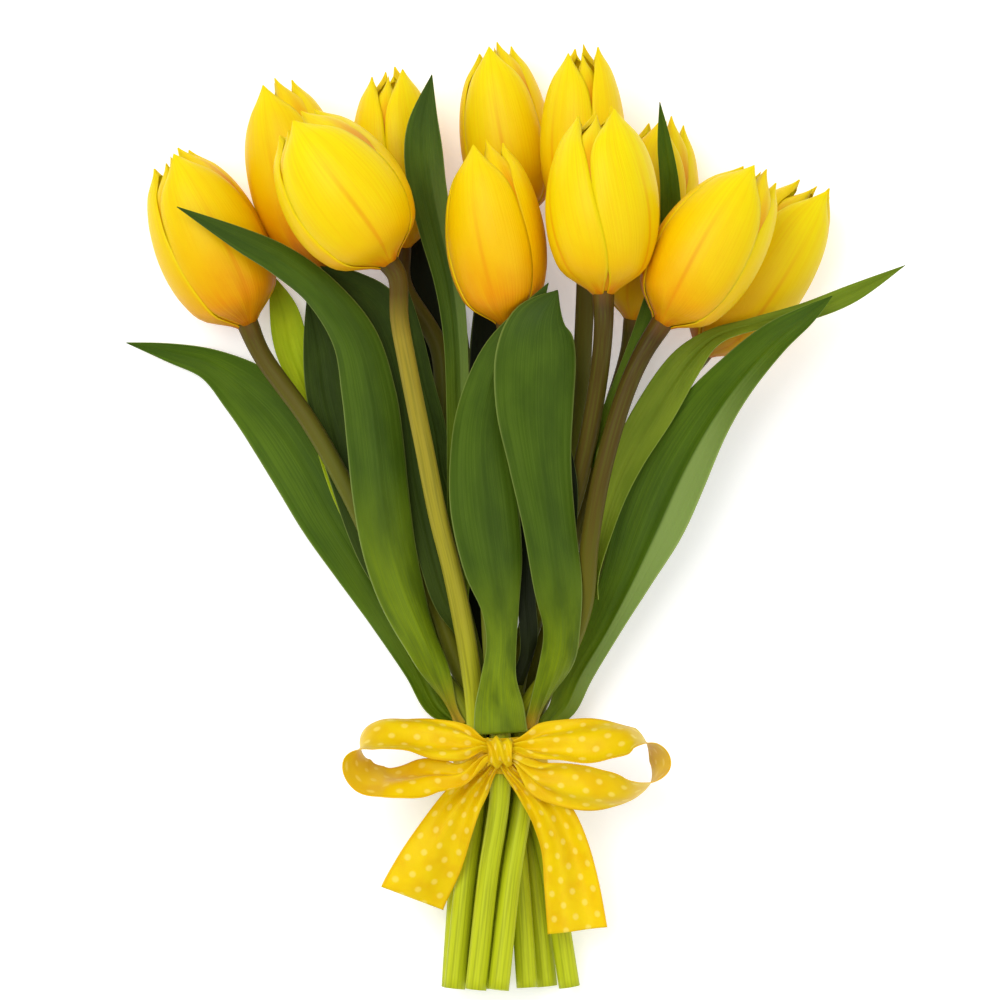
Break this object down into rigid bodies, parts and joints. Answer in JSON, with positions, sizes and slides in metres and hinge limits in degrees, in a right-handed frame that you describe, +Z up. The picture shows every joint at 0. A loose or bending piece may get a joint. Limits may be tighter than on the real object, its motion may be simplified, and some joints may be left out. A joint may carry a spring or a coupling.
{
  "type": "bunch of tulips",
  "caption": "Cut bunch of yellow tulips with long green leaves, tied at the waist with a dotted ribbon bow and laid on its back.",
  "frame": {"origin": "on the resting surface, under the ribbon tie: the flat underside of the band", "axes": "+Z up from the surface, +Y from the tie towards the blooms, +X to the right seen from above with the blooms at the far end"},
  "size_m": [0.2746, 0.3334, 0.0883],
  "materials": {
    "bloom": "soft satin petals, bright yellow with golden and orange bases",
    "stem": "smooth fresh stem, yellow-green below and brown near the bloom",
    "leaf": "smooth matt leaf with fine lengthwise veins",
    "ribbon": "golden woven ribbon with small cream dots"
  },
  "bodies": {
    "root": {"bloom_back_left": "bloom", "bloom_back_right": "bloom", "bloom_far_left": "bloom", "bloom_far_right": "bloom", "bloom_front_left": "bloom", "bloom_front_right": "bloom", "bloom_low_centre": "bloom", "bloom_mid_left": "bloom", "bloom_mid_right": "bloom", "bloom_outer_right": "bloom", "bloom_tallest": "bloom", "leaf_back_centre": "leaf", "leaf_back_left": "leaf", "leaf_backlit_left": "leaf", "leaf_dark_left": "leaf", "leaf_far_left": "leaf", "leaf_front_centre": "leaf", "leaf_front_left": "leaf", "leaf_inner_strip": "leaf", "leaf_long_left": "leaf", "leaf_long_right": "leaf", "leaf_narrow": "leaf", "leaf_small_inner": "leaf", "leaf_thin_right": "leaf", "leaf_twisted_right": "leaf", "leaf_under_left": "leaf", "leaf_upper_centre": "leaf", "ribbon_band": "ribbon", "ribbon_knot": "ribbon", "ribbon_loop_left": "ribbon", "ribbon_loop_right": "ribbon", "ribbon_tail_left": "ribbon", "ribbon_tail_right": "ribbon", "stem_back_left": "stem", "stem_back_right": "stem", "stem_far_left": "stem", "stem_far_right": "stem", "stem_front_left": "stem", "stem_front_right": "stem", "stem_low_centre": "stem", "stem_mid_left": "stem", "stem_mid_right": "stem", "stem_outer_right": "stem", "stem_tallest": "stem"}
  },
  "joints": []
}
